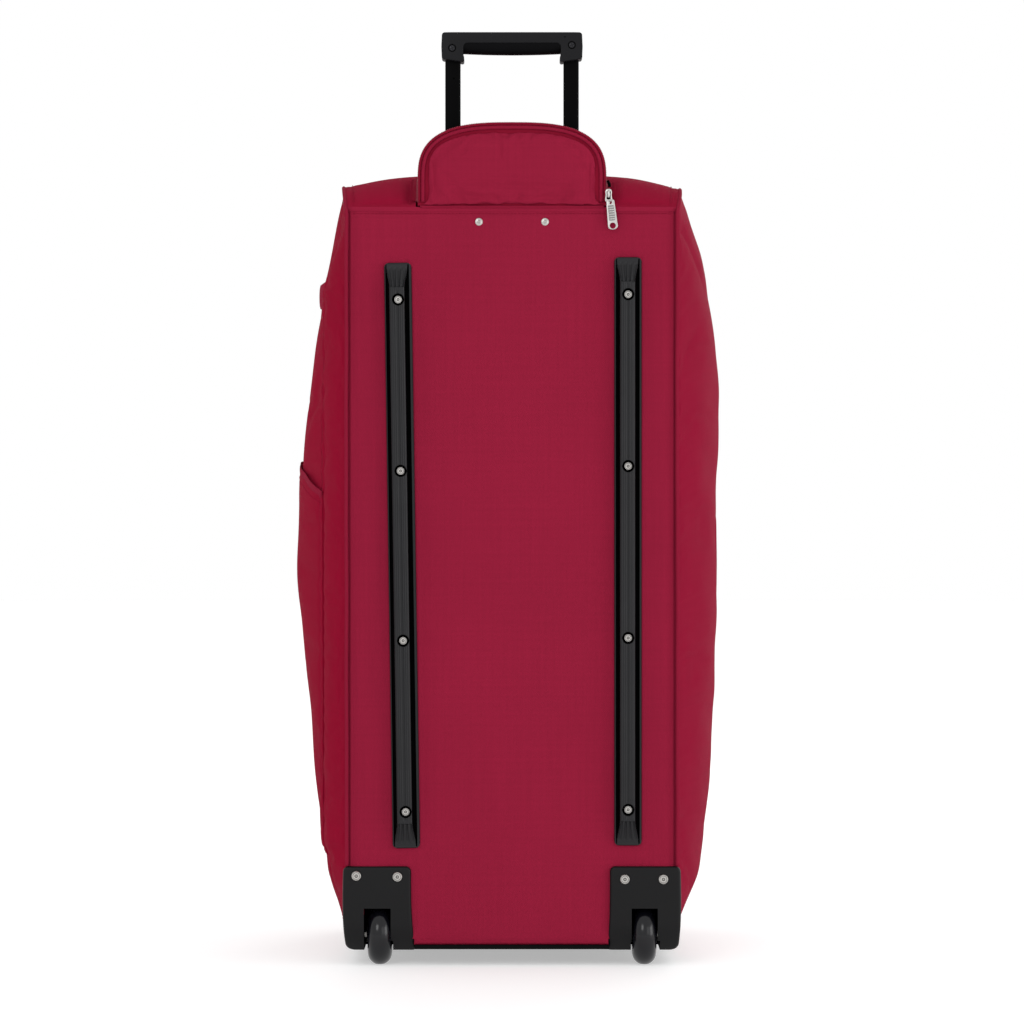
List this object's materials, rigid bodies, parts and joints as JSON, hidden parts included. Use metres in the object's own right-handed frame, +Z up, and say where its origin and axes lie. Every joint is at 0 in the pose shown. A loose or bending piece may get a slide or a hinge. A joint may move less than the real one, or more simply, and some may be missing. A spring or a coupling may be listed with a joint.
{
  "type": "rolling duffel bag",
  "caption": "Upright fabric duffel bag on corner wheels with back skid rails, a pull-out trolley handle, a hooded handle hatch, a hinged front lid and side carry handles.",
  "frame": {"origin": "on the floor under the middle of the bag as it stands on its wheels and foot bar", "axes": "+Z up, +X to the right as seen from behind, +Y from the wheeled back towards the lid"},
  "size_m": [0.4282, 0.3582, 0.9195],
  "materials": {
    "black_plastic": "satin, lightly textured",
    "black_tube": "black coated",
    "grey_lining": "plain lining",
    "red_fabric": "plain-weave polyester, matt",
    "red_piping": "covered piping",
    "red_webbing": "webbing",
    "satin_nickel": "satin nickel plate",
    "stiffener": "sheet",
    "tyre_rubber": "smooth",
    "zinc": "plated zinc"
  },
  "bodies": {
    "bag": {"axle_left": "satin_nickel", "axle_right": "satin_nickel", "back_board": "stiffener", "back_panel": "red_fabric", "base_board": "black_plastic", "bezel_rivet_left": "satin_nickel", "bezel_rivet_right": "satin_nickel", "flap_zip_slider": "zinc", "foot_bar": "black_plastic", "front_frame": "red_fabric", "handle_well": "grey_lining", "housing_rivet_left_1": "satin_nickel", "housing_rivet_left_2": "satin_nickel", "housing_rivet_right_1": "satin_nickel", "housing_rivet_right_2": "satin_nickel", "outer_tube_left": "black_tube", "outer_tube_right": "black_tube", "piping_left": "red_piping", "piping_right": "red_piping", "side_grab_handle": "red_fabric", "side_gusset_left": "red_fabric", "side_gusset_right": "red_fabric", "side_pocket": "red_fabric", "skid_left": "black_plastic", "skid_right": "black_plastic", "skid_rivet_left_1": "satin_nickel", "skid_rivet_left_2": "satin_nickel", "skid_rivet_left_3": "satin_nickel", "skid_rivet_left_4": "satin_nickel", "skid_rivet_right_1": "satin_nickel", "skid_rivet_right_2": "satin_nickel", "skid_rivet_right_3": "satin_nickel", "skid_rivet_right_4": "satin_nickel", "top_panel": "red_fabric", "trolley_bezel": "black_plastic", "trolley_bracket": "black_plastic", "wheel_housing_left": "black_plastic", "wheel_housing_right": "black_plastic"},
    "wheel_left": {"tyre_left": "tyre_rubber", "hub_left": "black_plastic"},
    "wheel_right": {"tyre_right": "tyre_rubber", "hub_right": "black_plastic"},
    "trolley_handle": {"grip_rear_shell": "black_plastic", "grip_front_shell": "black_plastic", "grip_screw_left": "satin_nickel", "grip_screw_right": "satin_nickel", "inner_tube_left": "black_tube", "inner_tube_right": "black_tube", "tube_glide_left": "black_plastic", "tube_glide_right": "black_plastic", "button_spring": "satin_nickel"},
    "release": {"release_button": "black_plastic"},
    "flap": {"handle_flap": "red_fabric"},
    "flap_pull": {"flap_zip_pull": "zinc"},
    "lid": {"lid_panel": "red_fabric", "front_pocket": "red_fabric"},
    "zip_slider": {"main_zip_slider": "zinc"},
    "zip_pull": {"main_zip_pull": "zinc"},
    "side_carry_left": {"carry_handle_left": "red_webbing"},
    "side_carry_right": {"carry_handle_right": "red_webbing"}
  },
  "joints": [
    {"name": "wheel_spin_left", "type": "hinge", "parent": "bag", "child": "wheel_left", "pos_m": [-0.1305, -0.15, 0.029], "axis": [1, 0, 0], "continuous": true},
    {"name": "wheel_spin_right", "type": "hinge", "parent": "bag", "child": "wheel_right", "pos_m": [0.1305, -0.15, 0.029], "axis": [1, 0, 0], "continuous": true},
    {"name": "handle_slide", "type": "slide", "parent": "bag", "child": "trolley_handle", "axis": [0, 0, 1], "range_m": [-0.158, 0.2]},
    {"name": "button_press", "type": "slide", "parent": "trolley_handle", "child": "release", "axis": [0, 0, 1], "range_m": [-0.0032, 0], "stiffness_N_per_m": 600, "springref_m": 0.004, "deforming": ["button_spring"]},
    {"name": "flap_fold", "type": "hinge", "parent": "bag", "child": "flap", "pos_m": [0, -0.1722, 0.7455], "axis": [1, 0, 0], "range_deg": [0, 90]},
    {"name": "flap_pull_swing", "type": "hinge", "parent": "bag", "child": "flap_pull", "pos_m": [0.098, -0.1742, 0.7525], "axis": [-1, 0, 0], "range_deg": [0, 95]},
    {"name": "lid_open", "type": "hinge", "parent": "bag", "child": "lid", "pos_m": [-0.1358, 0.1505, 0.395], "axis": [0, 0, 1], "range_deg": [0, 105]},
    {"name": "zip_slide", "type": "slide", "parent": "bag", "child": "zip_slider", "axis": [0, 0, 1], "range_m": [-0.53, 0.02]},
    {"name": "zip_pull_swing", "type": "hinge", "parent": "zip_slider", "child": "zip_pull", "pos_m": [0.1408, 0.1548, 0.6418], "axis": [1, 0, 0], "range_deg": [0, 95]},
    {"name": "carry_swing_left", "type": "hinge", "parent": "bag", "child": "side_carry_left", "pos_m": [-0.178, 0.134, 0.387], "axis": [0, 0, -1], "range_deg": [0, 70]},
    {"name": "carry_swing_right", "type": "hinge", "parent": "bag", "child": "side_carry_right", "pos_m": [0.178, 0.134, 0.387], "axis": [0, 0, 1], "range_deg": [0, 70]}
  ]
}
